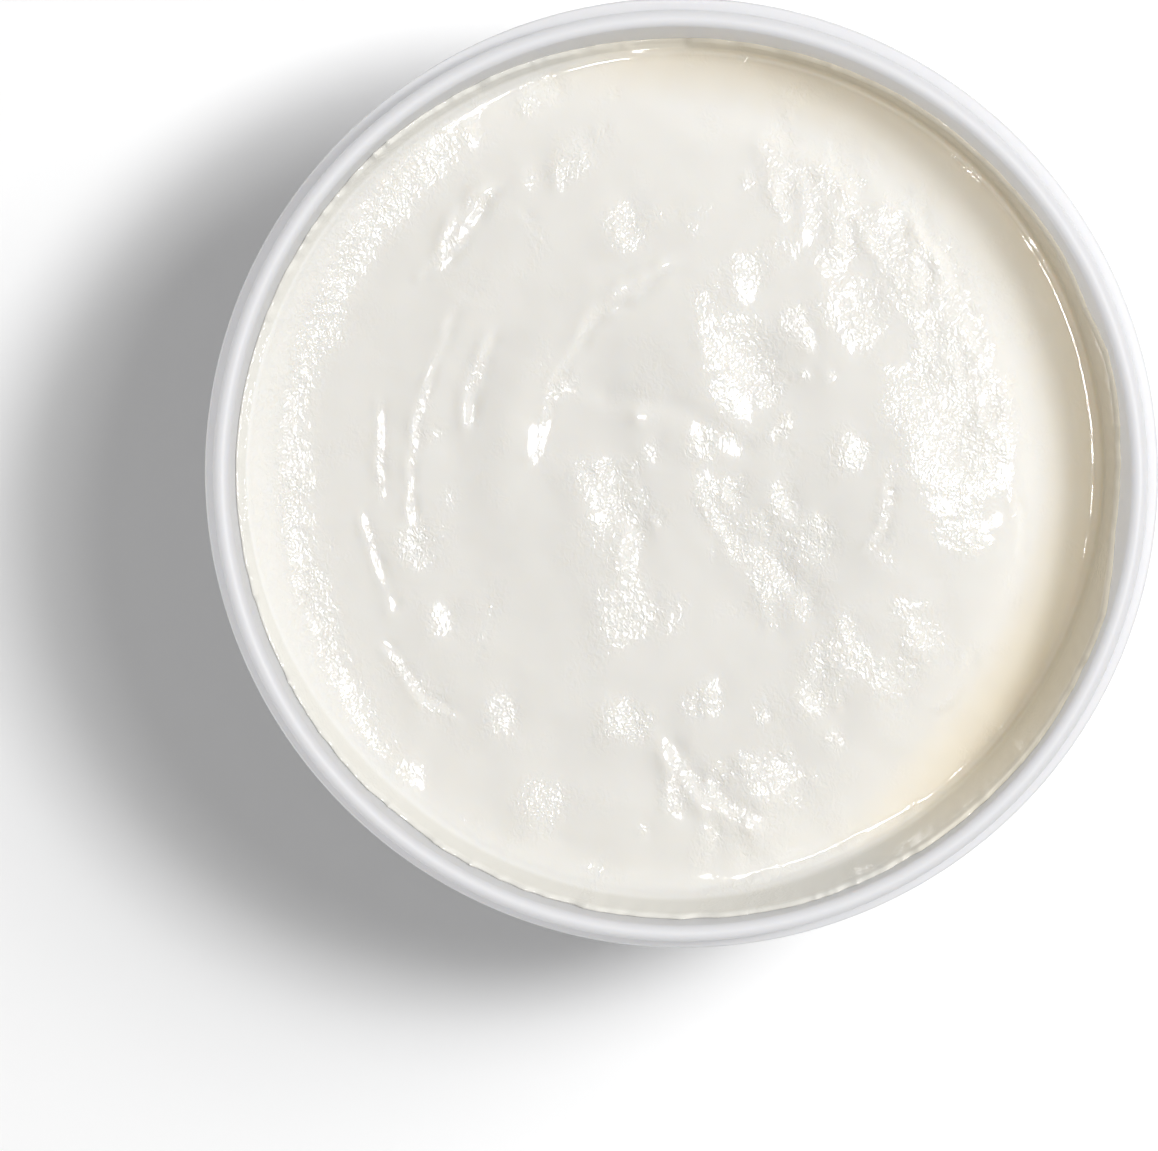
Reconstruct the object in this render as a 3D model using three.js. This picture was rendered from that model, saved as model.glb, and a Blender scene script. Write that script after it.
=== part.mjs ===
// A round white tub filled with thick stirred yogurt, seen from above as the mouth of a bowl.
// Millimetres, +Z up. The origin is the centre of the foot, on the surface the tub stands on.
import * as THREE from 'three';

// Tub: an injection-moulded cup with a rounded bead, a snap groove and a ledge for a lid.
const TUB_HEIGHT = 45;
const LEDGE_RADIUS = 58.5;
const LEDGE_DROP = 4.2;                              // from the top of the bead to the ledge
const LEDGE_THICKNESS = 1.2;
const BEAD_RADIUS = 57.2;
const MOUTH_RADIUS = 55.1;                           // inside of the bead
const GROOVE_DEPTH = 0.35;
const WALL = 0.8;
const DRAFT = Math.tan(THREE.MathUtils.degToRad(8)); // how much the wall leans out per mm
const FLOOR_THICKNESS = 1;
const FOOT_RECESS = 1.2;
const FOOT_FLAT_OUTER = 48;
const FOOT_FLAT_WIDTH = 1.5;
const FOOT_ROUND = 1.6;
const FLOOR_ROUND = 2.5;
const TUB_SEGMENTS = 84;

// Yogurt: levels are measured down from the top of the bead.
const GAP = 0.3;                                     // between the yogurt and the tub
const FILM = 0.8;                                    // coat left on the wall above the level
const FILM_LIP = 0.4;
const YOGURT_SEGMENTS = 108;
const RING_STEP = 2.2;
const WALL_RINGS = 3;

// Level of the stirred surface along eight spokes, 45 degrees apart from +X on, at these radii.
// The swirl is high on the left, where it was pushed up the wall, and leaves a trough on the right.
const SPOKE_RADII = [0, 8, 16, 22, 28, 33, 38, 42, 46, 50, 53.5];
const SPOKE_LEVELS = [
  [-9.3, -9.6, -9.4, -9.3, -8.6, -9.6, -10.6, -11.2, -13.0, -15.2, -16.0],
  [-9.3, -9.4, -9.8, -9.6, -9.9, -10.2, -10.8, -10.3, -11.8, -14.6, -16.2],
  [-9.3, -9.2, -9.0, -9.1, -9.4, -9.6, -10.2, -10.4, -11.6, -14.0, -15.6],
  [-9.3, -9.5, -9.8, -8.9, -9.2, -8.9, -9.2, -9.4, -9.8, -9.4, -8.8],
  [-9.3, -9.3, -9.4, -9.1, -9.5, -9.2, -9.0, -8.7, -8.1, -7.3, -5.4],
  [-9.3, -9.4, -9.2, -9.4, -9.5, -9.4, -9.3, -9.3, -9.3, -9.2, -8.8],
  [-9.3, -9.5, -9.8, -9.6, -9.4, -9.3, -9.6, -9.3, -9.4, -10.0, -9.4],
  [-9.3, -9.7, -10.2, -9.9, -9.2, -9.6, -10.6, -11.2, -12.8, -14.8, -15.8],
];

// Top edge of the coat on the wall: angle in degrees from +X, level.
const COAT_EDGE = [
  [-60, -3.4], [-18, -3.4], [-8, -9.8], [0, -9.5], [10, -6.2], [16, -5.6], [22, -10.2], [30, -8.4],
  [45, -11.4], [60, -11.8], [78, -13.8], [95, -14.2], [110, -9.4], [130, -5.6], [180, -4.3],
  [215, -4.0], [270, -3.6], [300, -3.4],
];

// Folds the spoon left, drawn with the low side on the left hand: start, bow and end of each on
// the plan, its height and half width. Each is a soft ridge, a hollow and a slope between them.
const FOLDS = [
  { path: [[-23.6, 34.2], [-28.2, 28.6], [-30.6, 25.0]], height: 0.3, width: 1.8 },
  { path: [[-27.3, 21.2], [-33.2, 10.5], [-33.7, -5.4]], height: 0.3, width: 1.8 },
  { path: [[-36.9, 8.8], [-38.6, -4.0], [-36.1, -16.6]], height: 0.3, width: 1.8 },
  { path: [[-36.1, -22.1], [-34.0, -27.1], [-28.5, -30.2]], height: 0.3, width: 1.8 },
  { path: [[-23.8, 15.6], [-26.1, 10.7], [-26.5, 6.3]], height: 0.25, width: 1.8 },
  { path: [[-1.7, 24.7], [-13.6, 20.2], [-17.3, 2.6]], height: 0.35, width: 2.0 },
  { path: [[27.4, 33.0], [31.1, 28.6], [33.0, 24.3]], height: 0.3, width: 1.8 },
  { path: [[21.0, 6.0], [21.6, 1.4], [20.6, -3.6]], height: 0.3, width: 1.8 },
  { path: [[13.0, 2.0], [13.6, -7.0], [15.0, -17.0]], height: 0.45, width: 2.4 },
  { path: [[-1.7, -34.3], [1.0, -40.7], [7.8, -43.2]], height: 0.4, width: 2.0 },
];

// Dabs where the spoon lifted off, each tilted down to the right.
const DABS = [
  { at: [6.5, 12.5], width: 3.2, tilt: 0.24 },
  { at: [-9.7, -2.6], width: 2.8, tilt: 0.28 },
  { at: [20.1, 20.6], width: 2.6, tilt: 0.16 },
  { at: [30.5, 6.4], width: 3.6, tilt: 0.1 },
  { at: [34.2, -1.1], width: 3.4, tilt: 0.1 },
  { at: [25.6, -26.5], width: 2.3, tilt: 0.26 },
  { at: [30.5, -21.5], width: 2.5, tilt: 0.2 },
  { at: [12.1, -39.5], width: 2.8, tilt: 0.24 },
  { at: [-17.4, -41.9], width: 2.5, tilt: 0.22 },
  { at: [-7.0, -17.8], width: 2.8, tilt: 0.14 },
];

// The last turn of the spoon: a small peak beside a short crease near the middle.
const PEAK = { at: [-5.6, 6.8], height: 1.3, radius: 3.4 };
const CREASE = { path: [[-9.0, 9.4], [-1.0, 10.2], [7.6, 3.2]], depth: 0.8, width: 1.5 };

const innerRadius = (level) => MOUTH_RADIUS + level * DRAFT;

// Points of a round corner about a centre, from one angle to another in degrees.
function corner(x, y, radius, from, to, steps) {
  const points = [];
  for (let i = 0; i <= steps; i++) {
    const a = THREE.MathUtils.degToRad(from + ((to - from) * i) / steps);
    points.push(new THREE.Vector2(x + radius * Math.cos(a), y + radius * Math.sin(a)));
  }
  return points;
}

// Catmull-Rom value between b and c.
function smooth(a, b, c, d, t) {
  return b + 0.5 * t * (c - a + t * (2 * a - 5 * b + 4 * c - d + t * (3 * (b - c) + d - a)));
}

function levelOnSpoke(levels, radius) {
  const last = SPOKE_RADII.length - 1;
  let i = 0;
  while (i < last - 1 && radius > SPOKE_RADII[i + 1]) i++;
  const t = Math.min((radius - SPOKE_RADII[i]) / (SPOKE_RADII[i + 1] - SPOKE_RADII[i]), 1);
  const before = levels[Math.max(i - 1, 0)];
  const after = levels[Math.min(i + 2, last)];
  return smooth(before, levels[i], levels[i + 1], after, t);
}

function swirlLevel(radius, angle) {
  const count = SPOKE_LEVELS.length;
  const turn = (angle / (2 * Math.PI) + 1) * count;
  const k = Math.floor(turn);
  const [a, b, c, d] = [-1, 0, 1, 2].map((n) => levelOnSpoke(SPOKE_LEVELS[(k + n) % count], radius));
  return smooth(a, b, c, d, turn - k);
}

// Distance from a bowed path, the side of it, 1 on its left hand, and the overrun past its ends.
function besidePath(path, x, y) {
  const curve = new THREE.QuadraticBezierCurve(...path.map((p) => new THREE.Vector2(...p)));
  const steps = 10;
  let best = { distance: Infinity };
  for (let i = 0; i < steps; i++) {
    const p = curve.getPoint(i / steps);
    const q = curve.getPoint((i + 1) / steps);
    const along = q.clone().sub(p);
    const t = new THREE.Vector2(x - p.x, y - p.y).dot(along) / along.lengthSq();
    const held = Math.min(Math.max(t, 0), 1);
    const dx = x - p.x - along.x * held;
    const dy = y - p.y - along.y * held;
    const distance = Math.hypot(dx, dy);
    if (distance < best.distance) {
      const past = Math.abs(t - held) * along.length();
      const side = Math.sign(along.x * dy - along.y * dx);
      best = { distance, side, past: held === t ? 0 : past };
    }
  }
  return best;
}

function foldLevel({ path, height, width }, x, y) {
  const { distance, side, past } = besidePath(path, x, y);
  const across = Math.sqrt(Math.max(distance ** 2 - past ** 2, 0)) / width;
  const fade = Math.exp(-((past / (2 * width)) ** 2));
  return -side * height * across * Math.exp(0.5 - 0.5 * across ** 2) * fade;
}

function dabLevel({ at, width, tilt }, x, y) {
  const dx = x - at[0];
  const dy = y - at[1];
  return -tilt * (dx + 0.2 * dy) * Math.exp((-0.5 * (dx ** 2 + 0.6 * dy ** 2)) / width ** 2);
}

function peakLevel(x, y) {
  const d = Math.hypot(x - PEAK.at[0], y - PEAK.at[1]) / PEAK.radius;
  return PEAK.height * Math.exp(-1.5 * d);
}

function creaseLevel(x, y) {
  const d = besidePath(CREASE.path, x, y).distance / CREASE.width;
  return -CREASE.depth * Math.exp(-(d ** 2));
}

function surfaceLevel(x, y) {
  let level = swirlLevel(Math.hypot(x, y), Math.atan2(y, x));
  for (const fold of FOLDS) level += foldLevel(fold, x, y);
  for (const dab of DABS) level += dabLevel(dab, x, y);
  return level + peakLevel(x, y) + creaseLevel(x, y);
}

// Level of the coat's top edge at an angle, along the straight lines between the listed points.
function coatLevel(angle) {
  const first = COAT_EDGE[0][0];
  const degrees = ((THREE.MathUtils.radToDeg(angle) - first + 720) % 360) + first;
  const i = COAT_EDGE.findIndex(([a], n) => degrees >= a && degrees <= (COAT_EDGE[n + 1] ?? [a])[0]);
  const [a, from] = COAT_EDGE[i];
  const [b, to] = COAT_EDGE[i + 1];
  return from + ((to - from) * (degrees - a)) / (b - a);
}

function makeTub() {
  const top = TUB_HEIGHT;
  const outer = (z) => innerRadius(z - top) + WALL;
  const ledgeTop = top - LEDGE_DROP;
  const ledgeUnder = ledgeTop - LEDGE_THICKNESS;
  const beadHalf = (BEAD_RADIUS - MOUTH_RADIUS) / 2;
  const beadMiddle = MOUTH_RADIUS + beadHalf;
  const floorTop = FOOT_RECESS + FLOOR_THICKNESS;
  const cornerTop = floorTop + FLOOR_ROUND;
  const footInner = FOOT_FLAT_OUTER - FOOT_FLAT_WIDTH;
  const neck = BEAD_RADIUS - GROOVE_DEPTH;
  const profile = [
    new THREE.Vector2(0, FOOT_RECESS),
    new THREE.Vector2(footInner - 0.6, FOOT_RECESS),
    new THREE.Vector2(footInner, 0),
    ...corner(FOOT_FLAT_OUTER, FOOT_ROUND, FOOT_ROUND, -90, 0, 3),
    new THREE.Vector2(outer(ledgeUnder - 1), ledgeUnder - 1),
    new THREE.Vector2(outer(ledgeUnder) + 1, ledgeUnder),
    new THREE.Vector2(LEDGE_RADIUS - 0.3, ledgeUnder),
    new THREE.Vector2(LEDGE_RADIUS, ledgeUnder + 0.3),
    new THREE.Vector2(LEDGE_RADIUS, ledgeTop - 0.3),
    new THREE.Vector2(LEDGE_RADIUS - 0.3, ledgeTop),
    new THREE.Vector2(BEAD_RADIUS + 0.3, ledgeTop),
    new THREE.Vector2(neck, ledgeTop + 0.7),
    new THREE.Vector2(neck, top - 2.2),
    ...corner(beadMiddle, top - beadHalf, beadHalf, 0, 180, 8),
    ...corner(innerRadius(cornerTop - top) - FLOOR_ROUND, cornerTop, FLOOR_ROUND, 0, -90, 4),
    new THREE.Vector2(0, floorTop),
  ];
  const geometry = new THREE.LatheGeometry(profile, TUB_SEGMENTS);
  geometry.rotateX(Math.PI / 2);
  const material = new THREE.MeshStandardMaterial({ color: 0xe6e6e8, roughness: 0.38 });
  return Object.assign(new THREE.Mesh(geometry, material), { name: 'tub' });
}

// The yogurt starts as rings about the axis, each with its own rule for radius and height.
function yogurtRings() {
  const top = TUB_HEIGHT;
  const floor = FOOT_RECESS + FLOOR_THICKNESS + GAP;
  const edgeLevel = (angle) => swirlLevel(SPOKE_RADII.at(-1), angle);
  const edgeRadius = (angle) => innerRadius(edgeLevel(angle)) - GAP - FILM;
  const levelAt = (radius, angle) =>
    surfaceLevel(radius * Math.cos(angle), radius * Math.sin(angle));
  const lipLevel = (angle) =>
    Math.max(coatLevel(angle), levelAt(edgeRadius(angle), angle) + 2 * FILM_LIP);
  const rings = [];
  const across = Math.round(SPOKE_RADII.at(-1) / RING_STEP);
  for (let i = 0; i <= across; i++) {
    rings.push((angle) => {
      const radius = (edgeRadius(angle) * i) / across;
      return [radius, top + levelAt(radius, angle)];
    });
  }
  for (let i = 1; i <= WALL_RINGS; i++) {
    rings.push((angle) => {
      const start = levelAt(edgeRadius(angle), angle);
      const level = start + ((lipLevel(angle) - FILM_LIP - start) * i) / WALL_RINGS;
      return [innerRadius(level) - GAP - FILM, top + level];
    });
  }
  rings.push((angle) => {
    const level = lipLevel(angle);
    return [innerRadius(level) - GAP - FILM_LIP, top + level];
  });
  rings.push((angle) => {
    const level = lipLevel(angle) - FILM_LIP;
    return [innerRadius(level) - GAP, top + level];
  });
  rings.push(() => [innerRadius(floor + FLOOR_ROUND - top) - GAP, floor + FLOOR_ROUND]);
  rings.push(() => [innerRadius(floor - top) - GAP - FLOOR_ROUND, floor]);
  rings.push(() => [0, floor]);
  return rings;
}

function makeYogurt() {
  const rings = yogurtRings();
  const blank = rings.map((_, i) => new THREE.Vector2(i === 0 || i === rings.length - 1 ? 0 : 1, -i));
  const geometry = new THREE.LatheGeometry(blank.reverse(), YOGURT_SEGMENTS);
  const position = geometry.attributes.position;
  for (let n = 0; n < position.count; n++) {
    const ring = rings[rings.length - 1 - (n % rings.length)];
    const step = Math.floor(n / rings.length) % YOGURT_SEGMENTS;
    const angle = (2 * Math.PI * step) / YOGURT_SEGMENTS;
    const wrapped = Math.atan2(Math.sin(angle), Math.cos(angle));
    const [radius, height] = ring(wrapped);
    position.setXYZ(n, radius * Math.cos(wrapped), radius * Math.sin(wrapped), height);
  }
  geometry.computeVertexNormals();
  const material = new THREE.MeshStandardMaterial({ color: 0xeeebe3, roughness: 0.22 });
  return Object.assign(new THREE.Mesh(geometry, material), { name: 'yogurt' });
}

const group = new THREE.Group();
group.name = 'yogurt_tub';
group.add(makeTub(), makeYogurt());

export default group;
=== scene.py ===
"""A white moulded tub filled with thick stirred yogurt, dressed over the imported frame.

Sizes are in millimetres and turned to metres where a mesh is made. Levels are measured down
from the top of the tub's bead, and angles turn from +X towards +Y.
"""
import math
import bmesh
import bpy
import numpy as np
from mathutils import Matrix, Vector


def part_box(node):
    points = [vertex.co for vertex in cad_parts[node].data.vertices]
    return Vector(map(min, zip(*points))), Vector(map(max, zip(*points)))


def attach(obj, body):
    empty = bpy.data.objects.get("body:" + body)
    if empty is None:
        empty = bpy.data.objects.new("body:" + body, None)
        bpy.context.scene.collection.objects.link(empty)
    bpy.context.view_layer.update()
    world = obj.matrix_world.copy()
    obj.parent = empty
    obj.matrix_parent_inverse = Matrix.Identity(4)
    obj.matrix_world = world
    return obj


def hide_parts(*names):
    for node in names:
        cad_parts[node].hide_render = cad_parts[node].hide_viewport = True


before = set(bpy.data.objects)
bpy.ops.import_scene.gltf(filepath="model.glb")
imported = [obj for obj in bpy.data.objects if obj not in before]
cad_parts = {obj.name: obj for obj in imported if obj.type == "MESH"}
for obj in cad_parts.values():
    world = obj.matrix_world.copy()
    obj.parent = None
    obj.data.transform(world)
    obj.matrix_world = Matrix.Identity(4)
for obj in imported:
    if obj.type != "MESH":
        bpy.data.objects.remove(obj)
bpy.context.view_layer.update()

MM = 0.001

# The tub, as in the frame.
TUB_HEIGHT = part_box("tub")[1][2] / MM
LEDGE_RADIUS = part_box("tub")[1][0] / MM
LEDGE_DROP = 4.2
LEDGE_THICKNESS = 1.2
BEAD_RADIUS = 57.2
MOUTH_RADIUS = 55.1
GROOVE_DEPTH = 0.35
WALL = 0.8
DRAFT = math.tan(math.radians(8))
FLOOR_THICKNESS = 1
FOOT_RECESS = 1.2
FOOT_FLAT_OUTER = 48
FOOT_FLAT_WIDTH = 1.5
FOOT_ROUND = 1.6
FLOOR_ROUND = 2.5
TUB_STEPS = 288

# The yogurt: the level along eight spokes, 45 degrees apart from +X on, at these radii.
SPOKE_RADII = np.array([0, 8, 16, 22, 28, 33, 38, 42, 46, 50, 53.5])
SPOKE_LEVELS = np.array([
    [-9.3, -9.6, -9.4, -9.3, -9.4, -9.7, -10.1, -10.9, -13.2, -15.1, -16.1],
    [-9.3, -9.4, -9.8, -9.6, -9.9, -10.2, -10.6, -11.2, -12.9, -14.6, -16.2],
    [-9.3, -9.2, -9.0, -9.1, -9.4, -9.6, -10.1, -10.7, -12.4, -14.1, -15.6],
    [-9.3, -9.5, -9.8, -8.9, -9.2, -8.9, -9.2, -9.4, -9.8, -9.4, -8.8],
    [-9.3, -9.3, -9.4, -9.1, -9.5, -9.2, -9.2, -9.1, -9.0, -8.3, -5.4],
    [-9.3, -9.4, -9.2, -9.4, -9.5, -9.4, -9.3, -9.3, -9.3, -9.2, -8.8],
    [-9.3, -9.5, -9.8, -9.6, -9.4, -9.3, -9.6, -9.3, -9.4, -10.0, -9.4],
    [-9.3, -9.7, -10.2, -9.9, -9.4, -9.7, -10.3, -11.2, -13.1, -14.7, -15.8],
])

# Top edge of the coat on the wall: angle in degrees, level.
COAT_EDGE = np.array([
    (-60, -3.4), (-18, -3.4), (-8, -9.8), (0, -9.5), (10, -6.2), (16, -5.6), (22, -10.2),
    (30, -8.4), (45, -11.4), (60, -11.8), (78, -13.8), (95, -14.2), (110, -9.4), (130, -5.6),
    (180, -4.3), (215, -4.0), (270, -3.6), (300, -3.4),
])

# Folds the spoon left, drawn with the low side on the left hand: start, bow, end, height, width.
FOLD_STEPS = 13           # points along each fold's bow
FOLD_BREAKS = 3.2         # how far apart a fold thins out
FOLDS = [
    ((-23.6, 34.2), (-28.2, 28.6), (-29.6, 25.9), 0.25, 0.87),
    ((-25.6, 33.8), (-29.6, 29.4), (-31.6, 24.2), 0.13, 0.52),
    ((-27.3, 21.2), (-33.2, 10.5), (-33.7, -5.4), 0.14, 0.56),
    ((-23.8, 15.6), (-26.1, 10.7), (-26.5, 6.3), 0.21, 0.78),
    ((-36.9, 8.8), (-37.6, 2.6), (-37.1, -2.9), 0.12, 0.52),
    ((-38.8, -6.0), (-38.4, -11.0), (-36.1, -16.6), 0.14, 0.56),
    ((-36.1, -22.1), (-34.0, -27.1), (-28.5, -30.2), 0.14, 0.56),
    ((-1.7, 24.7), (-10.1, 21.2), (-11.9, 17.2), 0.24, 0.87),
    ((-12.3, 16.9), (-16.0, 11.3), (-17.8, 2.6), 0.13, 0.70),
    ((25.6, -2.3), (25.4, -6.0), (23.1, -9.1), 0.13, 0.52),
    ((41.0, -2.3), (41.9, -5.4), (41.9, -10.4), 0.13, 0.52),
    ((-1.7, -34.3), (1.0, -40.7), (7.8, -43.2), 0.27, 1.13),
    ((2.2, -52.5), (18.2, -49.1), (28.7, -42.0), 0.12, 0.52),
    ((35.4, -24.0), (34.8, -27.1), (31.8, -29.6), 0.14, 0.60),
    ((27.4, 33.0), (31.1, 28.6), (33.0, 24.3), 0.19, 0.78),
]

# Dabs where the spoon lifted off, each tilted to the right and torn: place, width, tilt.
DAB_DEPTH = 0.66          # how much of the tilt is carried out
DAB_TURN = 0.3            # how much of the tilt points up the picture
DABS = [
    (-33.4, -9.1, 1.7, 0.22), (-30.1, -18.4, 1.8, 0.2), (-31.6, -28.3, 1.5, 0.2),
    (-22.4, -30.2, 1.6, 0.22), (6.5, 12.5, 3.2, 0.24), (-9.7, -2.6, 2.8, 0.28),
    (-7.0, -10.4, 1.6, 0.24), (-3.9, 3.0, 1.1, 0.26), (2.2, 4.1, 1.2, 0.18),
    (3.0, -2.6, 1.4, 0.2), (5.9, -2.6, 1.2, 0.2), (12.4, -3.6, 1.9, 0.22),
    (10.2, -11.6, 2.1, 0.24), (16.0, -8.5, 1.9, 0.24), (14.3, -16.0, 1.6, 0.22),
    (20.9, 2.0, 1.5, 0.26), (20.1, 20.6, 2.6, 0.16), (18.2, 25.6, 1.3, 0.16),
    (30.5, 6.4, 3.6, 0.1), (34.2, -1.1, 3.4, 0.1), (36.1, -8.5, 1.4, 0.12),
    (25.6, -26.5, 2.3, 0.26), (30.5, -21.5, 2.5, 0.2), (20.9, -22.1, 1.7, 0.2),
    (15.8, -28.3, 1.7, 0.2), (-7.6, -31.1, 2.1, 0.22), (12.1, -39.5, 2.8, 0.24),
    (10.2, -43.8, 1.7, 0.22), (2.8, -47.3, 1.3, 0.2), (7.2, -46.9, 1.4, 0.2),
    (-17.4, -41.9, 2.5, 0.22), (-33.4, -38.2, 1.9, 0.16), (-7.0, -17.8, 2.8, 0.14),
    (-12.2, 39.8, 1.7, 0.2), (-17.4, 47.2, 1.5, 0.2), (-7.4, 30.1, 1.9, 0.2),
    (7.8, 23.9, 1.4, 0.2), (13.9, 18.1, 1.2, 0.2), (3.5, -27.1, 1.4, 0.2),
    (13.9, 46.6, 1.4, 0.14), (20.1, 37.0, 1.0, 0.14),
]
# Fields of small dabs: how many, radius from and to, angle from and to in degrees.
SMALL_WIDTHS, SMALL_TILTS = (0.5, 1.1), (0.14, 0.28)
DAB_FIELDS = [
    (80, 34, 46, 10, 80), (24, 5, 24, 285, 355), (16, 28, 46, 262, 292), (9, 36, 50, 100, 122),
    (10, 24, 38, 296, 326), (10, 12, 24, 20, 80), (8, 4, 14, 150, 250),
]
PEAK_AT, PEAK_HEIGHT, PEAK_RADIUS = (-5.6, 6.8), 0.8, 3.0
CREASE, CREASE_DEPTH, CREASE_WIDTH = ((-9.0, 9.4), (-1.0, 10.2), (7.6, 3.2)), 0.2, 1.5

# Where the skin is torn: added amount, radius and angle of the middle, and how far it reaches.
SHOULDER_TORN, SHOULDER_RADIUS, SHOULDER_WIDTH = 0.6, 38, 7
SHOULDER_ANGLE, SHOULDER_REACH = 34, 26
BANK_FROM, BANK_TO, BANK_RADIUS, BANK_WIDTH = 118, 228, 50, 3.6
BANK_FADE_IN, BANK_FADE_OUT = 12, 24
TORN_BY_DAB, TORN_BY_FOLD = 0.9, 0.6

BENDS = 0.9, 6            # how far the folds and dabs waver, and over what length
DRAGS = 0.9, 4            # the same for the wrinkles
PERIOD = 256              # after so many units random_heights repeats
STREAKS = PERIOD          # fine wrinkles round the rim, which have to close
GRID_FACES = 276          # along each side of the sheet that becomes the surface
COAT = 1.0                # thickness of the coat where it leaves the surface
COAT_LIP = 0.45           # and at its top edge
COAT_HOLD = 0.12          # how far that edge runs into the wall, so that no gap shows
COAT_RINGS, LIP_STEPS = 8, 4
MENISCUS = 1.1            # how high the surface curls up into the coat
CURL = 0.45 * MENISCUS    # how wide that curl is
LIGHT_WITHIN = 0.6        # subsurface share of the body; the thin coat has none
PAINTED_SHADE_LEVEL, PAINTED_SHADE_FADE = -12.0, 4.0   # painted warm shade in the hollow: starts at this level and is full this much lower

# The photograph: 1158 x 1151 pixels, with the mouth's centre at this pixel.
PHOTO_WIDTH, PHOTO_HEIGHT = 1158, 1151
MOUTH_PIXEL = (679, 479)
LEDGE_PIXELS = 479        # radius of the ledge's edge there
CAMERA_DISTANCE = 1000
CAMERA_TILT, CAMERA_SIDE = math.radians(6.5), math.radians(65)
SENSOR = 36
FLOOR_SIZE, FAR_CLIP = 6, 20    # metres

# Lights: turn from +X, height above the floor, both in degrees, distance, width, power in watts.
GLINTS = (-4, 74, 1200, 230, 6.0)
SOFTBOX_MIDDLE = (20, 56, 1200, 240, 4.1)
SOFTBOX_RIM = (28, 44, 1200, 460, 4.9)
THROUGH_WALL = (25, 56, 1200, 430, 5.0)
ON_FLOOR = (25, 59, 1200, 430, 5.4)
IN_PLASTIC = (205, 60, 1200, 900, 7.0)
FILL = 0.34               # even light from all round


# Plain helpers

def linear(code):
    """An sRGB hex colour as linear red, green, blue, alpha."""
    parts = [int(code[i:i + 2], 16) / 255 for i in (1, 3, 5)]
    return (*(c / 12.92 if c <= 0.04045 else ((c + 0.055) / 1.055) ** 2.4 for c in parts), 1)


def inner_radius(level):
    """Radius of the tub's inner wall at a level below the bead's top."""
    return MOUTH_RADIUS + level * DRAFT


def corner(x, z, radius, start, end, steps):
    """Points of a round corner about a centre, between two angles in degrees."""
    turns = [math.radians(start + (end - start) * i / steps) for i in range(steps + 1)]
    return [(x + radius * math.cos(a), z + radius * math.sin(a)) for a in turns]


def random_heights(x, y, seed):
    """Smooth random heights, about -0.7 to 0.7, with one bump for each unit of x and y."""
    turn = np.random.default_rng(seed).uniform(0, 2 * np.pi, (PERIOD, PERIOD))
    column, row = np.floor(x).astype(int), np.floor(y).astype(int)
    right, up = x - column, y - row

    def slope(dx, dy):
        a = turn[(column + dx) % PERIOD, (row + dy) % PERIOD]
        return np.cos(a) * (right - dx) + np.sin(a) * (up - dy)

    ease_right, ease_up = (t * t * t * (t * (t * 6 - 15) + 10) for t in (right, up))
    low = slope(0, 0) + ease_right * (slope(1, 0) - slope(0, 0))
    high = slope(0, 1) + ease_right * (slope(1, 1) - slope(0, 1))
    return low + ease_up * (high - low)


# The yogurt's form

def smooth(a, b, c, d, t):
    """Catmull-Rom value between b and c."""
    return b + 0.5 * t * (c - a + t * (2 * a - 5 * b + 4 * c - d + t * (3 * (b - c) + d - a)))


def level_on_spoke(spoke, radius):
    """Level along one of the spokes, smooth between the given radii."""
    last = len(SPOKE_RADII) - 1
    i = np.clip(np.searchsorted(SPOKE_RADII, radius, side="left") - 1, 0, last - 1)
    t = np.minimum((radius - SPOKE_RADII[i]) / (SPOKE_RADII[i + 1] - SPOKE_RADII[i]), 1)
    at = [SPOKE_LEVELS[spoke, np.clip(i + n, 0, last)] for n in (-1, 0, 1, 2)]
    return smooth(*at, t)


def swirl_level(radius, angle):
    """Level of the stirred surface, smooth from spoke to spoke."""
    count = len(SPOKE_LEVELS)
    turn = (angle / (2 * np.pi) + 1) * count
    k = np.floor(turn).astype(int)
    at = [level_on_spoke((k + n) % count, radius) for n in (-1, 0, 1, 2)]
    return smooth(*at, turn - k)


def beside_path(path, x, y):
    """Distance from a bowed path, positive on its left hand, and the overrun past its ends."""
    start, bow, end = (np.array(p) for p in path)
    best = np.full(x.shape, np.inf)
    side, past = np.zeros(x.shape), np.zeros(x.shape)
    along = [(1 - t) ** 2 * start + 2 * t * (1 - t) * bow + t ** 2 * end
             for t in np.linspace(0, 1, FOLD_STEPS)]
    for p, q in zip(along, along[1:]):
        step = q - p
        t = ((x - p[0]) * step[0] + (y - p[1]) * step[1]) / (step @ step)
        held = np.clip(t, 0, 1)
        dx, dy = x - p[0] - step[0] * held, y - p[1] - step[1] * held
        distance = np.hypot(dx, dy)
        nearer = distance < best
        best = np.where(nearer, distance, best)
        side = np.where(nearer, np.sign(step[0] * dy - step[1] * dx), side)
        past = np.where(nearer, np.abs(t - held) * np.hypot(*step), past)
    return best, side, past


def near(points, reach, x, y):
    """Marks what lies within reach of the box round some points."""
    low, high = np.min(points, 0) - reach, np.max(points, 0) + reach
    return (x > low[0]) & (x < high[0]) & (y > low[1]) & (y < high[1])


def add_fold(level, fold, x, y):
    """Adds a soft ridge on the path's right hand, a hollow on its left, a slope between them."""
    *path, height, width = fold
    at = near(path, 4 * width, x, y)
    distance, side, past = beside_path(path, x[at], y[at])
    across = np.sqrt(np.maximum(distance ** 2 - past ** 2, 0)) / width
    fade = np.exp(-((past / (2 * width)) ** 2))
    breaks = random_heights(x[at] / FOLD_BREAKS, y[at] / FOLD_BREAKS, 9)
    broken = np.clip(0.8 + 1.3 * breaks, 0, 1.3)
    level[at] -= side * height * broken * across * np.exp(0.5 - 0.5 * across ** 2) * fade


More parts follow.
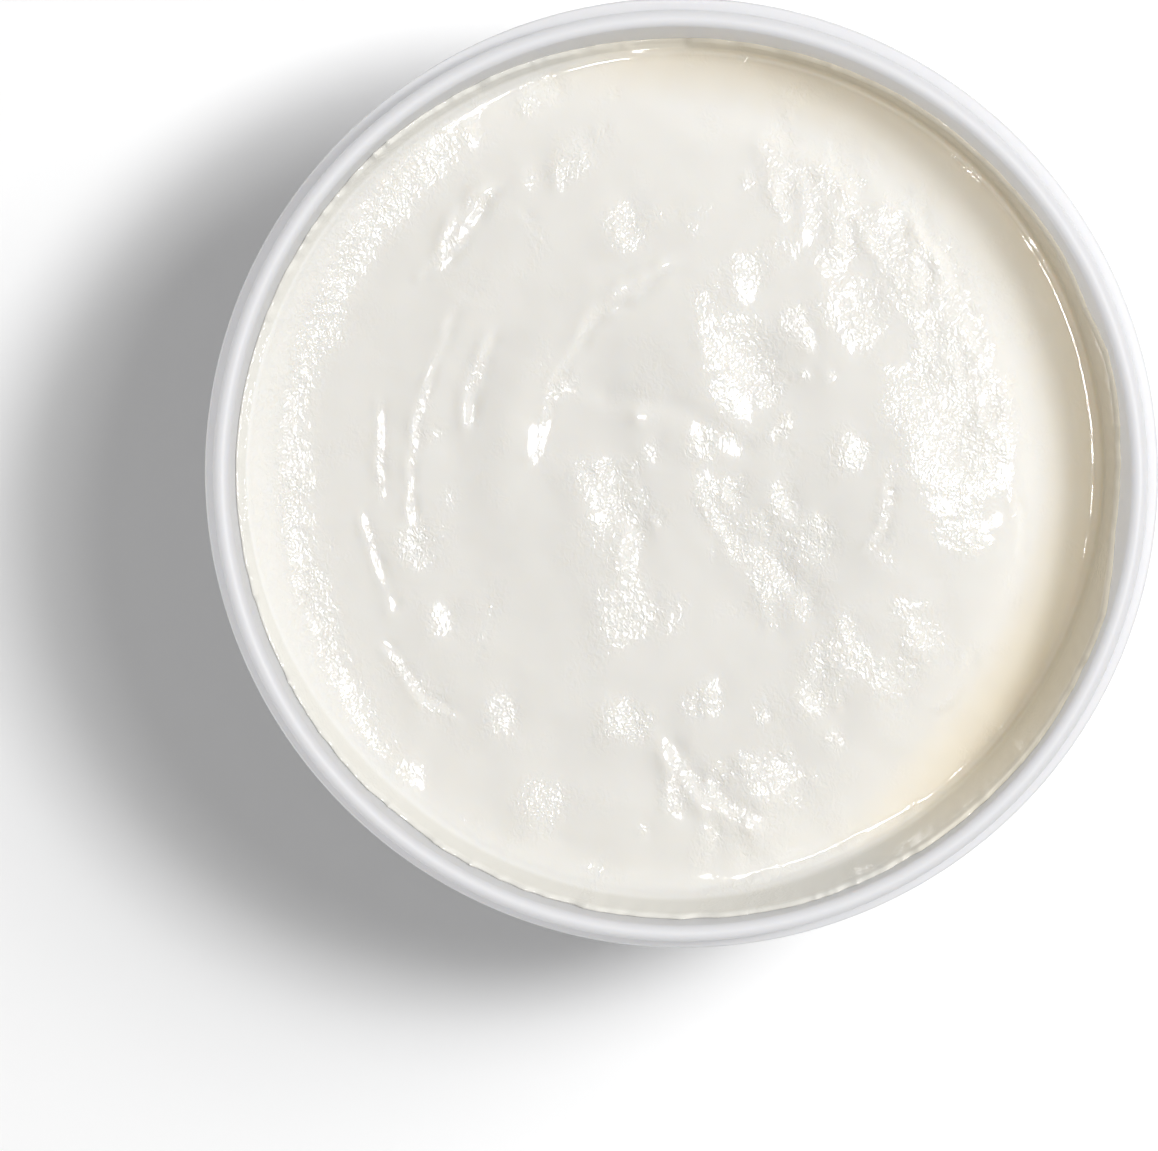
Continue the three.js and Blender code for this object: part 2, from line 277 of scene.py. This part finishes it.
def add_dab(level, dab, x, y):
    """Adds a small tilted facet, high on its left and low on its right."""
    right, up, width, tilt = dab
    at = near([(right, up)], 3.5 * width, x, y)
    dx, dy = x[at] - right, y[at] - up
    fade = np.exp(-0.5 * (dx ** 2 + 0.6 * dy ** 2) / width ** 2)
    level[at] -= DAB_DEPTH * tilt * (dx + DAB_TURN * dy) * fade


def scattered_dabs():
    """Small dabs strewn over each field, for the flakes of glint between the large dabs."""
    pick = np.random.default_rng(17)
    dabs = []
    for count, inner, outer, start, end in DAB_FIELDS:
        radius = pick.uniform(inner, outer, count)
        turn = np.radians(pick.uniform(start, end, count))
        width, tilt = pick.uniform(*SMALL_WIDTHS, count), pick.uniform(*SMALL_TILTS, count)
        dabs += list(zip(radius * np.cos(turn), radius * np.sin(turn), width, tilt))
    return dabs


def waver(x, y, wavering, seed):
    """Shifts the points a little at random, so that what is drawn on them isn't straight."""
    far, length = wavering
    return (x + far * random_heights(x / length, y / length, seed),
            y + far * random_heights(x / length, y / length, seed + 1))


def surface_level(x, y):
    """Level of the swirl with its folds, dabs, crease and peak."""
    bent_x, bent_y = waver(x, y, BENDS, 7)
    level = swirl_level(np.hypot(x, y), np.arctan2(y, x))
    for fold in FOLDS:
        add_fold(level, fold, bent_x, bent_y)
    for dab in DABS + scattered_dabs():
        add_dab(level, dab, bent_x, bent_y)
    at = near(CREASE, 3.5 * CREASE_WIDTH, x, y)
    beside = beside_path(CREASE, x[at], y[at])[0] / CREASE_WIDTH
    level[at] -= CREASE_DEPTH * np.exp(-beside ** 2)
    peak = np.hypot(x - PEAK_AT[0], y - PEAK_AT[1]) / PEAK_RADIUS
    return level + PEAK_HEIGHT * np.exp(-1.5 * peak)


def coat_level(angle):
    """Level of the coat's ragged top edge."""
    degrees = (np.degrees(angle) - COAT_EDGE[0, 0]) % 360 + COAT_EDGE[0, 0]
    level = np.interp(degrees, COAT_EDGE[:, 0], COAT_EDGE[:, 1])
    arc = np.radians(degrees) * MOUTH_RADIUS
    teeth = 1 - 2 * np.abs(random_heights(arc / 2.6, arc * 0 + 0.5, 31))
    return level + 0.5 * teeth + 0.7 * random_heights(arc / 5.5, arc * 0 + 0.5, 32)


def left_bank(radius, angle):
    """Marks, from 0 to 1, the torn bank where the yogurt climbs the left wall."""
    fade_in = np.clip((angle - BANK_FROM) / BANK_FADE_IN, 0, 1)
    fade_out = np.clip((BANK_TO - angle) / BANK_FADE_OUT, 0, 1)
    return fade_in * fade_out * np.exp(-((radius - BANK_RADIUS) / BANK_WIDTH) ** 2)


def shoulder(radius, angle):
    """Marks, from 0 to 1, where the yogurt starts to fall to the trough at the upper right."""
    around = np.exp(-((angle - SHOULDER_ANGLE) / SHOULDER_REACH) ** 2)
    return around * np.exp(-((radius - SHOULDER_RADIUS) / SHOULDER_WIDTH) ** 2)


def torn(x, y):
    """How wrinkled the surface is, from 0, smooth, to 1: most in the dabs and by the left wall."""
    patches = 0.9 * random_heights(x / 7, y / 7, 11) + 0.5 * random_heights(x / 3, y / 3, 12)
    amount = patches - 0.05
    for right, up, width, _ in DABS + scattered_dabs():
        at = near([(right, up)], 4 * width, x, y)
        away = np.hypot(x[at] - right, y[at] - up) / width
        amount[at] += TORN_BY_DAB * np.exp(-0.4 * away ** 2)
    for *path, _, width in FOLDS:
        at = near(path, 3 * width, x, y)
        beside = beside_path(path, x[at], y[at])[0] / width
        amount[at] += TORN_BY_FOLD * np.exp(-beside ** 2)
    radius, angle = np.hypot(x, y), np.degrees(np.arctan2(y, x)) % 360
    amount += SHOULDER_TORN * shoulder(radius, angle)
    return np.clip(amount, 0, 1) + left_bank(radius, angle)


def wrinkles(x, y):
    """Fine dragged wrinkles: streaks along the radius outside, crumpled ones near the middle."""
    radius, turn = np.hypot(x, y), np.arctan2(y, x) / (2 * np.pi) * STREAKS
    drag_x, drag_y = waver(x, y, DRAGS, 5)
    broad = random_heights(drag_x / 4.5, drag_y / 4.0, 21)
    middle = random_heights(drag_x / 1.7, drag_y / 1.1, 22)
    fine = random_heights(drag_x / 0.9, drag_y / 0.6, 23)
    streaks = random_heights(turn + 0.6 * middle, (radius + broad) / 2.4, 24)
    outside = np.clip((radius - 18) / 10, 0, 1)
    middle = middle + outside * (streaks - middle)
    return 0.12 * broad + (0.05 + 0.95 * torn(x, y)) * (0.075 * middle + 0.035 * fine)


def edge_level(angle):
    """Level at which the surface meets the wall's coat."""
    return swirl_level(np.full(angle.shape, SPOKE_RADII[-1]), angle)


def edge_radius(angle):
    """Radius at which the surface meets the wall's coat."""
    return inner_radius(edge_level(angle)) - COAT


# Making the pieces

def start_piece(add, name, **settings):
    """Adds a primitive with nothing else selected, and returns its object in edit mode."""
    bpy.ops.object.select_all(action="DESELECT")
    add(**settings)
    piece = bpy.context.object
    piece.name = piece.data.name = name
    bpy.ops.object.mode_set(mode="EDIT")
    return piece


def tub_outline():
    """The tub's section, from the axis under the floor, up the outside and down the inside."""
    def outer(z):
        return inner_radius(z - TUB_HEIGHT) + WALL

    ledge_top = TUB_HEIGHT - LEDGE_DROP
    ledge_under = ledge_top - LEDGE_THICKNESS
    bead_half = (BEAD_RADIUS - MOUTH_RADIUS) / 2
    floor_top = FOOT_RECESS + FLOOR_THICKNESS
    corner_top = floor_top + FLOOR_ROUND
    floor_corner = inner_radius(corner_top - TUB_HEIGHT) - FLOOR_ROUND
    foot_inner = FOOT_FLAT_OUTER - FOOT_FLAT_WIDTH
    neck = BEAD_RADIUS - GROOVE_DEPTH
    edge = 0.3      # rounding of the small edges
    gate = 1.6      # radius of the mark that the mould's gate leaves under the floor
    return [
        (0, FOOT_RECESS - edge),
        (gate, FOOT_RECESS - edge),
        (gate + edge, FOOT_RECESS),
        (foot_inner - 1.2, FOOT_RECESS),
        (foot_inner - 0.6, FOOT_RECESS - 0.2),
        (foot_inner - 0.2, edge),
        (foot_inner + 0.1, 0),
        *corner(FOOT_FLAT_OUTER, FOOT_ROUND, FOOT_ROUND, -90, 0, 10),
        (outer(ledge_under - 1), ledge_under - 1),
        (outer(ledge_under) + 0.25, ledge_under - 0.25),
        (outer(ledge_under) + 1, ledge_under),
        *corner(LEDGE_RADIUS - edge, ledge_under + edge, edge, -90, 0, 4),
        *corner(LEDGE_RADIUS - edge, ledge_top - edge, edge, 0, 90, 4),
        (BEAD_RADIUS + edge, ledge_top),
        (neck + 0.2, ledge_top + 0.2),
        (neck, ledge_top + 0.7),
        (neck, TUB_HEIGHT - 2.4),
        (neck + 0.12, TUB_HEIGHT - 1.9),
        *corner(MOUTH_RADIUS + bead_half, TUB_HEIGHT - bead_half, bead_half, -18, 180, 22),
        *corner(floor_corner, corner_top, FLOOR_ROUND, 0, -90, 8),
        (0, floor_top),
    ]


def make_tub():
    """The section is drawn point by point and spun about the axis."""
    outline = [Vector((r * MM, 0, z * MM)) for r, z in tub_outline()]
    piece = start_piece(bpy.ops.mesh.primitive_plane_add, "tub_shell", size=MM)
    bpy.ops.mesh.merge(type="CENTER")
    bpy.ops.transform.translate(value=outline[0])
    for here, there in zip(outline, outline[1:]):
        bpy.ops.mesh.extrude_vertices_move(TRANSFORM_OT_translate={"value": there - here})
    bpy.ops.mesh.select_all(action="SELECT")
    bpy.ops.mesh.spin(steps=TUB_STEPS, angle=2 * math.pi, center=(0, 0, 0), axis=(0, 0, 1))
    bpy.ops.mesh.select_all(action="SELECT")
    bpy.ops.mesh.remove_doubles(threshold=1e-6)
    bpy.ops.mesh.normals_make_consistent(inside=False)
    bpy.ops.object.mode_set(mode="OBJECT")
    bpy.ops.object.shade_smooth_by_angle(angle=math.radians(32))
    return piece


def sheet_to_disc(u, v):
    """A square sheet from -1 to 1 drawn out into a disc: share of the radius, and angle."""
    wide = np.abs(u) > np.abs(v)
    share = np.where(wide, np.abs(u), np.abs(v))
    with np.errstate(divide="ignore", invalid="ignore"):
        angle = np.where(wide, np.pi / 4 * v / u + np.pi * (u < 0),
                         np.pi / 2 - np.pi / 4 * u / v + np.pi * (v < 0))
    return share, np.where(share > 0, (angle + np.pi) % (2 * np.pi) - np.pi, 0)


def coat_span(angle):
    """Levels where the coat starts and where its round lip is centred."""
    start = edge_level(angle) + MENISCUS
    return start, np.maximum(coat_level(angle), start + COAT_LIP) - COAT_LIP / 2


def wall_rings():
    """Radius and level of each ring that follows the surface: up the coat, over, and down."""
    rings = []

    def coat_ring(share):
        def ring(angle):
            start, top = coat_span(angle)
            level = start + (top - start) * share
            thick = COAT + (COAT_LIP - COAT) * share
            arc = angle * MOUTH_RADIUS
            drips = 0.12 * random_heights(arc / 1.8, level / 5, 41) * share
            return inner_radius(level) - thick + drips, level
        return ring

    def lip_ring(turn):
        def ring(angle):
            level = coat_span(angle)[1] + COAT_LIP / 2 * math.sin(turn)
            inset = COAT_LIP * math.cos(turn) - COAT_HOLD * math.sin(turn)
            return inner_radius(level) - inset, level
        return ring

    def flat_ring(height, inset):
        def ring(angle):
            level = np.full(angle.shape, height)
            return inner_radius(level) - inset, level
        return ring

    for i in range(1, COAT_RINGS):
        rings.append(coat_ring(i / COAT_RINGS))
    for i in range(LIP_STEPS + 1):
        rings.append(lip_ring(math.pi / 2 * i / LIP_STEPS))
    floor = FOOT_RECESS + FLOOR_THICKNESS - TUB_HEIGHT
    return rings + [flat_ring(floor + FLOOR_ROUND, 0), flat_ring(floor, FLOOR_ROUND)]


def set_values(piece, name, values):
    """Gives each vertex of a piece a value that its material reads by this name."""
    piece.data.attributes.new(name, "FLOAT", "POINT").data.foreach_set("value", values)


def make_yogurt():
    """A square sheet drawn out into the disc, raised to the swirl, then pulled up the wall."""
    piece = start_piece(bpy.ops.mesh.primitive_grid_add, "yogurt_swirl",
                        x_subdivisions=GRID_FACES, y_subdivisions=GRID_FACES, size=2)
    bpy.ops.object.mode_set(mode="OBJECT")
    flat = np.empty(len(piece.data.vertices) * 3)
    piece.data.vertices.foreach_get("co", flat)
    share, angle = sheet_to_disc(flat[0::3].round(9), flat[1::3].round(9))
    edge = edge_radius(angle)
    radius = share * edge
    x, y = radius * np.cos(angle), radius * np.sin(angle)
    curl = MENISCUS * np.exp(-(edge - radius) / CURL)
    level = surface_level(x, y) + wrinkles(x, y) * np.clip((edge - radius) / 0.8, 0, 1)
    level = np.where(share > 0.999, edge_level(angle), level) + curl
    moved = np.stack([x, y, level + TUB_HEIGHT], -1) * MM
    piece.data.vertices.foreach_set("co", moved.ravel())
    # painted warm shade: how far the colour is mixed towards the shaded colours, by level
    painted_shade_amount = np.clip((PAINTED_SHADE_LEVEL - level) / PAINTED_SHADE_FADE, 0, 1)
    set_values(piece, "torn", torn(x, y))
    set_values(piece, "painted_warm_shade", painted_shade_amount)
    bpy.ops.object.mode_set(mode="EDIT")
    bpy.ops.mesh.select_mode(type="EDGE")
    bpy.ops.mesh.select_all(action="DESELECT")
    bpy.ops.mesh.select_non_manifold()
    for ring in wall_rings():
        bpy.ops.mesh.extrude_edges_move()
        sheet = bmesh.from_edit_mesh(piece.data)
        verts = [v for v in sheet.verts if v.select]
        turn = np.array([math.atan2(v.co.y, v.co.x) for v in verts])
        far, depth = ring(turn)
        for v, a, r, z in zip(verts, turn, far, depth):
            v.co = Vector((r * math.cos(a), r * math.sin(a), z + TUB_HEIGHT)) * MM
        bmesh.update_edit_mesh(piece.data)
    bpy.ops.mesh.edge_face_add()
    bpy.ops.mesh.select_all(action="SELECT")
    bpy.ops.mesh.normals_make_consistent(inside=False)
    bpy.ops.object.mode_set(mode="OBJECT")
    bpy.ops.object.shade_smooth()
    thick = np.zeros(len(piece.data.vertices))
    thick[:len(x)] = LIGHT_WITHIN
    set_values(piece, "thick", thick)
    return piece


# Materials

def add_node(tree, kind, links=(), **settings):
    """Adds a node; settings whose name is an input set that input, links are (input, output)."""
    node = tree.nodes.new(kind)
    for name, value in settings.items():
        if hasattr(node, name):
            setattr(node, name, value)
        else:
            node.inputs[name.replace("_", " ")].default_value = value
    for socket, output in links:
        tree.links.new(output, node.inputs[socket])
    return node


def new_material(name):
    """An empty material and its node tree."""
    material = bpy.data.materials.new(name)
    material.use_nodes = True
    material.node_tree.nodes.clear()
    return material, material.node_tree


def finish_material(tree, shader):
    add_node(tree, "ShaderNodeOutputMaterial", [("Surface", shader.outputs[0])])


def moulded_polypropylene():
    """White polypropylene, injection moulded: a cool satin white, faintly grained by the mould."""
    material, tree = new_material("polypropylene_moulded_satin")
    place = add_node(tree, "ShaderNodeTexCoord").outputs["Object"]
    grain = add_node(tree, "ShaderNodeTexNoise", [("Vector", place)],
                     Scale=1 / (0.6 * MM), Detail=2.0, Roughness=0.6)
    bump = add_node(tree, "ShaderNodeBump", [("Height", grain.outputs["Fac"])],
                    Strength=0.12, Distance=0.05 * MM)
    shader = add_node(tree, "ShaderNodeBsdfPrincipled", [("Normal", bump.outputs["Normal"])],
                      Base_Color=linear("#D6D6D8"), Roughness=0.42, IOR=1.49)
    shader.inputs["Subsurface Weight"].default_value = 0.25
    shader.inputs["Subsurface Radius"].default_value = (1.0, 0.85, 0.65)
    shader.inputs["Subsurface Scale"].default_value = 1.2 * MM
    finish_material(tree, shader)
    return material


def stirred_yogurt():
    """Whole-milk yogurt, stirred: warm off-white light from within, wet with whey.

    The wet skin is smooth in places and crumpled where the spoon tore it, which breaks the gloss
    into flakes of glint. The crumples start about 0.5 mm apart across the picture and 0.9 mm up it,
    and a noise drags them out of line. The hollow has a painted warm shade: below a level the
    colour is mixed to warmer shaded colours. The thin coat on the wall has no light from within, so
    painted
    colour stands in for it: darker than the body's in the light, brighter and warmer in the hollow.
    """
    material, tree = new_material("yogurt_whole_milk_stirred")
    place = add_node(tree, "ShaderNodeTexCoord").outputs["Object"]
    wrinkled = add_node(tree, "ShaderNodeAttribute", attribute_name="torn").outputs["Fac"]
    thick = add_node(tree, "ShaderNodeAttribute", attribute_name="thick").outputs["Fac"]
    painted_shade_fac = add_node(tree, "ShaderNodeAttribute", attribute_name="painted_warm_shade").outputs["Fac"]
    # painted light and shade: lit colours, the coat's painted darker than the body's to tone down
    # its lit side
    lit = add_node(tree, "ShaderNodeMixRGB", [("Fac", thick)],
                   Color1=linear("#D9D7D0"), Color2=linear("#E7E5E1"))
    # painted shade colours: the coat's brighter and warmer to stand in for the light from within it
    # lacks, the body's darker and warmer
    shaded = add_node(tree, "ShaderNodeMixRGB", [("Fac", thick)],
                      Color1=linear("#F8EED8"), Color2=linear("#DFD4BC"))
    # painted shade in the hollow: lit colours mixed to the shaded ones by the painted warm shade
    # amount
    colour = add_node(tree, "ShaderNodeMixRGB", [
        ("Fac", painted_shade_fac), ("Color1", lit.outputs["Color"]), ("Color2", shaded.outputs["Color"])])
    drag = add_node(tree, "ShaderNodeTexNoise", [("Vector", place)],
                    Scale=1 / (1.6 * MM), Detail=2.0, Roughness=0.6)
    dragged = add_node(tree, "ShaderNodeVectorMath", [(0, drag.outputs["Color"]), (2, place)],
                       operation="MULTIPLY_ADD")
    dragged.inputs[1].default_value = (2.4 * MM, 2.4 * MM, 2.4 * MM)
    drawn_out = add_node(tree, "ShaderNodeMapping", [("Vector", dragged.outputs[0])],
                         Scale=(1.3, 0.75, 1.0))
    crumple = add_node(tree, "ShaderNodeTexVoronoi", [("Vector", drawn_out.outputs[0])],
                       Scale=1 / (0.68 * MM))
    depth = add_node(tree, "ShaderNodeMath", [(0, crumple.outputs["Distance"]), (1, wrinkled)],
                     operation="MULTIPLY")
    skin = add_node(tree, "ShaderNodeBump", [("Height", depth.outputs[0])],
                    Strength=1.0, Distance=0.092 * MM)
    shader = add_node(tree, "ShaderNodeBsdfPrincipled",
                      [("Normal", skin.outputs["Normal"]), ("Subsurface Weight", thick),
                       ("Base Color", colour.outputs["Color"])], Roughness=0.07, IOR=1.47)
    shader.inputs["Subsurface Radius"].default_value = (0.9, 0.8, 0.65)
    shader.inputs["Subsurface Scale"].default_value = 3.0 * MM
    finish_material(tree, shader)
    return material


def pale_floor():
    """Plain matt white studio floor."""
    material, tree = new_material("studio_floor_matt")
    shader = add_node(tree, "ShaderNodeBsdfPrincipled", Base_Color=linear("#FAFAFA"), Roughness=0.9)
    finish_material(tree, shader)
    return material


# The studio

def only(piece):
    """A collection that links a light to one piece."""
    collection = bpy.data.collections.new(f"light_{piece.name}")
    collection.objects.link(piece)
    return collection


def hang_light(name, turn, height, distance, width, power, on=None, held_by=None):
    """A round soft light that faces the tub, for all or one piece, held back by all or one."""
    turn, height = math.radians(turn), math.radians(height)
    aim = Vector((math.cos(height) * math.cos(turn), math.cos(height) * math.sin(turn),
                  math.sin(height)))
    bpy.ops.object.light_add(type="AREA", location=aim * distance * MM)
    lamp = bpy.context.object
    lamp.name = name
    lamp.rotation_euler = aim.to_track_quat("Z", "Y").to_euler()
    lamp.data.shape = "DISK"
    lamp.data.size = width * MM
    lamp.data.energy = power
    lamp.visible_glossy = False
    if on:
        lamp.light_linking.receiver_collection = only(on)
    if held_by:
        lamp.light_linking.blocker_collection = only(held_by)
    return lamp


def hang_softbox(tub, yogurt, floor):
    """One softbox in shares, because the tub's thin white wall lets much of the light through.

    Its middle and its rim make the soft shadows. The rest passes the wall on to the yogurt,
    falls behind the tub on the floor, or spreads inside the plastic. The glints are a light of
    their own.
    """
    glints = hang_light("glints", *GLINTS)
    glints.visible_glossy, glints.visible_diffuse = True, False
    hang_light("softbox_middle", *SOFTBOX_MIDDLE)
    hang_light("softbox_rim", *SOFTBOX_RIM)
    hang_light("softbox_through_wall", *THROUGH_WALL, on=yogurt, held_by=floor)
    hang_light("softbox_on_floor", *ON_FLOOR, on=floor)
    hang_light("softbox_in_plastic", *IN_PLASTIC, on=tub, held_by=floor)


def set_studio(tub, yogurt):
    """White floor, even white light from all round, and the softbox."""
    bpy.ops.object.select_all(action="DESELECT")
    bpy.ops.mesh.primitive_plane_add(size=FLOOR_SIZE)
    floor = bpy.context.object
    floor.name = "floor"
    floor.data.materials.append(pale_floor())
    world = bpy.data.worlds.new("soft_fill")
    bpy.context.scene.world = world
    world.use_nodes = True
    world.node_tree.nodes["Background"].inputs["Color"].default_value = (1, 1, 1, 1)
    world.node_tree.nodes["Background"].inputs["Strength"].default_value = FILL
    hang_softbox(tub, yogurt, floor)
    bpy.context.scene.view_settings.view_transform = "Standard"


def set_camera():
    """Almost straight above, leaning to the top of the picture, with the mouth at its pixel."""
    back = Vector((math.sin(CAMERA_TILT) * math.cos(CAMERA_SIDE),
                   math.sin(CAMERA_TILT) * math.sin(CAMERA_SIDE), math.cos(CAMERA_TILT)))
    right = (Vector((1, 0, 0)) - back * back.x).normalized()
    up = back.cross(right)
    pixel = LEDGE_RADIUS / LEDGE_PIXELS
    off_right = (MOUTH_PIXEL[0] - PHOTO_WIDTH / 2) * pixel
    off_up = (PHOTO_HEIGHT / 2 - MOUTH_PIXEL[1]) * pixel
    aim = Vector((0, 0, TUB_HEIGHT)) - right * off_right - up * off_up
    spot = (aim + back * CAMERA_DISTANCE) * MM
    turn = Matrix((right, up, back)).transposed().to_4x4()
    data = bpy.data.cameras.new("photo_camera")
    data.sensor_fit, data.sensor_width = "HORIZONTAL", SENSOR
    data.lens = SENSOR * CAMERA_DISTANCE / (PHOTO_WIDTH * pixel)
    data.clip_end = FAR_CLIP
    camera = bpy.data.objects.new("photo_camera", data)
    camera.matrix_world = Matrix.Translation(spot) @ turn
    bpy.context.scene.collection.objects.link(camera)
    bpy.context.scene.camera = camera


def dress(piece, node, material):
    """Gives a piece its material and puts it in the place of its node in the frame."""
    piece.data.materials.append(material)
    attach(piece, "root")
    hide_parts(node)


tub, yogurt = make_tub(), make_yogurt()
dress(tub, "tub", moulded_polypropylene())
dress(yogurt, "yogurt", stirred_yogurt())
set_studio(tub, yogurt)
set_camera()
